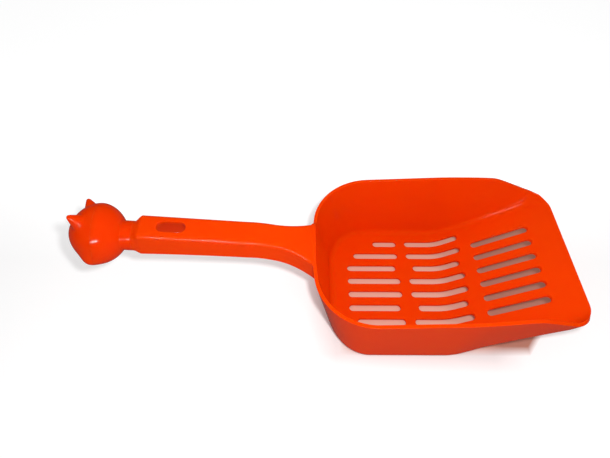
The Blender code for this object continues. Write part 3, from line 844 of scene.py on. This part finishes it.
class Nodes:
    """Short calls for building a node material."""

    def __init__(self, name):
        self.material = bpy.data.materials.new(name)
        self.material.use_nodes = True
        self.tree = self.material.node_tree
        self.shader = self.tree.nodes["Principled BSDF"]
        self.place = self.add("ShaderNodeTexCoord").outputs["Object"]

    def add(self, kind, **settings):
        node = self.tree.nodes.new(kind)
        for key, value in settings.items():
            setattr(node, key, value)
        return node

    def link(self, output, socket):
        self.tree.links.new(output, socket)

    def noise(self, scale, detail, roughness=0.5, stretch=(1.0, 1.0, 1.0)):
        mapping = self.add("ShaderNodeMapping")
        mapping.inputs["Scale"].default_value = stretch
        self.link(self.place, mapping.inputs["Vector"])
        node = self.add("ShaderNodeTexNoise")
        node.inputs["Scale"].default_value = scale
        node.inputs["Detail"].default_value = detail
        node.inputs["Roughness"].default_value = roughness
        self.link(mapping.outputs["Vector"], node.inputs["Vector"])
        return node.outputs["Fac"]

    def remap(self, value, old, new):
        """Map the range old onto the range new, and stay inside of it."""
        node = self.add("ShaderNodeMapRange")
        node.inputs["From Min"].default_value = old[0]
        node.inputs["From Max"].default_value = old[1]
        node.inputs["To Min"].default_value = new[0]
        node.inputs["To Max"].default_value = new[1]
        self.link(value, node.inputs["Value"])
        return node.outputs["Result"]

    def fade(self, value, limits, soft):
        """1 between two limits, easing to 0 just outside of them."""
        low = self.remap(value, (limits[0] - soft, limits[0]), (0.0, 1.0))
        high = self.remap(value, (limits[1] + soft, limits[1]), (0.0, 1.0))
        return self.math("MULTIPLY", low, high)

    def math(self, operation, first, second):
        node = self.add("ShaderNodeMath", operation=operation)
        for socket, value in zip(node.inputs, (first, second)):
            if isinstance(value, (int, float)):
                socket.default_value = value
            else:
                self.link(value, socket)
        return node.outputs["Value"]

    def mix(self, factor, first, second):
        node = self.add("ShaderNodeMix", data_type="RGBA")
        self.link(factor, node.inputs["Factor"])
        for socket, value in ((node.inputs["A"], first), (node.inputs["B"], second)):
            if isinstance(value, tuple):
                socket.default_value = (*value, 1.0)
            else:
                self.link(value, socket)
        return node.outputs["Result"]

    def edges(self, radius):
        """1 on exposed edges, 0 on flats."""
        bevel = self.add("ShaderNodeBevel", samples=4)
        bevel.inputs["Radius"].default_value = radius
        normal = self.add("ShaderNodeNewGeometry").outputs["Normal"]
        dot = self.add("ShaderNodeVectorMath", operation="DOT_PRODUCT")
        self.link(bevel.outputs["Normal"], dot.inputs[0])
        self.link(normal, dot.inputs[1])
        return self.remap(dot.outputs["Value"], (0.995, 0.90), (0.0, 1.0))

    def bump(self, height, strength, distance):
        node = self.add("ShaderNodeBump")
        node.inputs["Strength"].default_value = strength
        node.inputs["Distance"].default_value = distance
        self.link(height, node.inputs["Height"])
        self.link(node.outputs["Normal"], self.shader.inputs["Normal"])


def moulded_plastic(name, colour, deep, worn, roughness):
    """Glossy moulded plastic: faint flow clouding, fine surface ripple, scuffs and rubbed edges."""
    m = Nodes(name)
    flow = m.noise(scale=28.0, detail=3.0, roughness=0.55, stretch=(1.0, 2.2, 2.2))
    base = m.mix(m.remap(flow, (0.3, 0.7), (0.0, 1.0)), colour, deep)
    broken = m.noise(scale=700.0, detail=3.0, roughness=0.6)
    rubbed = m.remap(broken, (0.42, 0.62), (0.0, PLASTIC_WEAR))
    base = m.mix(m.math("MULTIPLY", m.edges(PLASTIC_EDGE), rubbed), base, worn)
    m.link(base, m.shader.inputs["Base Color"])
    scratches = m.noise(scale=240.0, detail=4.0, roughness=0.65, stretch=(0.35, 3.0, 1.0))
    scuff = m.remap(scratches, (0.58, 0.74), (0.0, SCUFF_ROUGHNESS))
    haze = m.noise(scale=60.0, detail=2.0)
    gloss = m.remap(haze, (0.3, 0.7), (roughness - GLOSS_SPREAD, roughness + GLOSS_SPREAD))
    m.link(m.math("ADD", gloss, scuff), m.shader.inputs["Roughness"])
    m.shader.inputs["IOR"].default_value = PLASTIC_IOR
    m.shader.inputs["Specular IOR Level"].default_value = PLASTIC_SPECULAR
    m.shader.inputs["Subsurface Weight"].default_value = GLOW_WEIGHT
    m.shader.inputs["Subsurface Radius"].default_value = GLOW_COLOUR
    m.shader.inputs["Subsurface Scale"].default_value = GLOW_DEPTH
    waves = m.math("MULTIPLY", m.noise(scale=180.0, detail=2.0), 1.5)
    ripple = m.math("ADD", m.noise(scale=1400.0, detail=2.0), waves)
    m.bump(ripple, RIPPLE_STRENGTH, RIPPLE_DEPTH)
    return m.material


def zinc_steel(name):
    """Bright zinc plate with brushed streaks, cloudy spots and polished edges."""
    m = Nodes(name)
    cloud = m.noise(scale=900.0, detail=4.0, roughness=0.6)
    base = m.mix(m.remap(cloud, (0.35, 0.65), (0.0, 1.0)), ZINC_LIGHT, ZINC_DARK)
    base = m.mix(m.edges(ZINC_EDGE), base, ZINC_POLISHED)
    m.link(base, m.shader.inputs["Base Color"])
    m.shader.inputs["Metallic"].default_value = 1.0
    streak = m.noise(scale=2500.0, detail=3.0, roughness=0.6, stretch=(0.2, 1.0, 1.0))
    m.link(m.remap(streak, (0.3, 0.7), ZINC_ROUGHNESS), m.shader.inputs["Roughness"])
    m.bump(streak, STREAK_STRENGTH, STREAK_DEPTH)
    return m.material


def under_pan_shade_mask(m, x, y):
    """1 on the floor under the pan, where shade is painted, narrowing with the ramp's shadow under
    the lip.
    """
    past = m.math("MAXIMUM", m.math("SUBTRACT", x, LIP_SHADE_X), 0.0)
    slanted = m.math("SUBTRACT", y, m.math("MULTIPLY", past, LIP_SHADE_SLANT))
    along = m.fade(x, UNDER_PAN_X, UNDER_PAN_SOFT[0])
    return m.math("MULTIPLY", along, m.fade(slanted, UNDER_PAN_Y, UNDER_PAN_SOFT[1]))


def foot_shadow_mask(m, x, y):
    """1 on the floor that the pan stands on, easing to 0 a little way off from its foot: a painted
    shadow.
    """
    along = m.fade(x, FOOT_SHADOW_X, FOOT_SHADOW_SOFT[0])
    return m.math("MULTIPLY", along, m.fade(y, FOOT_SHADOW_Y, FOOT_SHADOW_SOFT[1]))


def pale_floor(name):
    """Pale floor, duller in reflections, with painted shade and bounce light under the pan."""
    m = Nodes(name)
    m.shader.inputs["Roughness"].default_value = 1.0
    m.shader.inputs["Specular IOR Level"].default_value = 0.0
    split = m.add("ShaderNodeSeparateXYZ")
    m.link(m.place, split.inputs["Vector"])
    x = split.outputs["X"]
    y = split.outputs["Y"]
    rays = m.add("ShaderNodeLightPath").outputs
    under = under_pan_shade_mask(m, x, y)
    # Painted shade and painted orange bounce light on the floor under the pan, browner under the
    # ramp.
    painted_shade_colour = m.mix(m.remap(x, RAMP_SHADE_X, (0.0, 1.0)), UNDER_FLOOR_PAINTED_SHADE, UNDER_RAMP_PAINTED_SHADE)
    base = m.mix(under, m.mix(m.noise(scale=6.0, detail=2.0), *FLOOR_PALE), painted_shade_colour)
    base = m.mix(rays["Is Diffuse Ray"], base, FLOOR_IN_DIFFUSE)
    base = m.mix(rays["Is Glossy Ray"], base, FLOOR_IN_GLOSSY)
    m.link(base, m.shader.inputs["Base Color"])
    # Painted shadow: the floor's glow is left out at the pan's foot and under the pan.
    outside_foot_shadow = m.math("SUBTRACT", 1.0, foot_shadow_mask(m, x, y))
    open_floor = m.math("MULTIPLY", outside_foot_shadow, m.math("SUBTRACT", 1.0, under))
    seen = m.math("MULTIPLY", open_floor, rays["Is Camera Ray"])
    lift = m.remap(y, FLOOR_LIFT_Y, FLOOR_LIFT)
    m.shader.inputs["Emission Color"].default_value = (1.0, 1.0, 1.0, 1.0)
    m.link(m.math("MULTIPLY", seen, lift), m.shader.inputs["Emission Strength"])
    return m.material


def dress(obj, material):
    obj.data.materials.clear()
    obj.data.materials.append(material)
    for polygon in obj.data.polygons:
        polygon.material_index = 0


# ---------------------------------------------------------------- pieces

def scoop_moulding(material):
    """Pan, handle and spigot in one piece."""
    body = pan_shell()
    combine(body, slot_cutter(), "DIFFERENCE")
    combine(body, handle_block(), "UNION")
    combine(body, handle_channel(), "DIFFERENCE")
    post = spigot()
    post.data.transform(axis_matrix(0.0))
    combine(body, post, "UNION")
    combine(body, hanging_hole(), "DIFFERENCE")
    dress(body, material)
    finish_shading(body, MOULDING_CREASE)
    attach(body, "scoop")
    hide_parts("scoop_body")


def knob_piece(piece, node, material):
    """Put a shell of the knob in its place, instead of its CAD node."""
    piece.data.transform(axis_matrix(KNOB_ROLL))
    dress(piece, material)
    finish_shading(piece, KNOB_CREASE)
    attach(piece, "knob")
    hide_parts(node)


# ---------------------------------------------------------------- studio

def floor():
    bm = bmesh.new()
    bmesh.ops.create_grid(bm, x_segments=8, y_segments=8, size=FLOOR_HALF_SIZE)
    bmesh.ops.translate(bm, verts=bm.verts, vec=(0.0, 0.0, FLOOR_LEVEL))
    ground = new_object("floor", bm)
    dress(ground, pale_floor("pale_floor"))


def area_light(name, place, size, power):
    """A rectangular light that faces the scene's centre, with its long side along X."""
    light = bpy.data.lights.new(name, "AREA")
    light.shape = "RECTANGLE"
    light.size = size[0]
    light.size_y = size[1]
    light.energy = power
    facing = (SCENE_CENTRE - place).normalized()
    side = Vector((1.0, 0.0, 0.0))
    side = (side - facing * side.dot(facing)).normalized()
    turn = Matrix((side, side.cross(facing), -facing)).transposed().to_4x4()
    lamp = bpy.data.objects.new(name, light)
    lamp.matrix_world = Matrix.Translation(place) @ turn
    bpy.context.scene.collection.objects.link(lamp)
    return lamp


def lights():
    world = bpy.data.worlds.new("studio")
    bpy.context.scene.world = world
    world.use_nodes = True
    background = world.node_tree.nodes["Background"]
    background.inputs["Color"].default_value = (1.0, 1.0, 1.0, 1.0)
    background.inputs["Strength"].default_value = WORLD_STRENGTH
    world.cycles_visibility.glossy = False
    key = area_light("key", CAMERA_PLACE + KEY_OFFSET, KEY_SIZE, KEY_POWER)
    key.visible_glossy = False
    toward_strip = Vector((
        math.sin(STRIP_AZIMUTH) * math.cos(STRIP_ELEVATION),
        -math.cos(STRIP_AZIMUTH) * math.cos(STRIP_ELEVATION),
        math.sin(STRIP_ELEVATION),
    ))
    strip_place = SCENE_CENTRE + toward_strip * STRIP_DISTANCE
    strip = area_light("strip", strip_place, STRIP_SIZE, STRIP_POWER)
    strip.visible_diffuse = False


def camera():
    view = bpy.data.cameras.new("view")
    view.sensor_width = CAMERA_SENSOR
    view.lens = CAMERA_LENS
    view.clip_start = 0.01
    eye = bpy.data.objects.new("view", view)
    eye.location = CAMERA_PLACE
    eye.rotation_euler = (CAMERA_TILT, 0.0, CAMERA_TURN)
    bpy.context.scene.collection.objects.link(eye)
    bpy.context.scene.camera = eye


scoop_orange = moulded_plastic(
    "moulded_orange", SCOOP_ORANGE, SCOOP_DEEP, SCOOP_WORN, SCOOP_ROUGHNESS
)
knob_orange = moulded_plastic(
    "knob_orange", KNOB_ORANGE, KNOB_DEEP, KNOB_WORN, KNOB_ROUGHNESS
)
steel = zinc_steel("zinc_plate")

scoop_moulding(scoop_orange)
knob_piece(neck_shell(), "knob_neck_shell", knob_orange)
knob_piece(face_shell(), "knob_face_shell", knob_orange)
for node in ("retaining_washer", "retaining_screw"):
    dress(frame["nodes"][node], steel)

floor()
lights()
camera()
bpy.context.scene.view_settings.view_transform = "Standard"
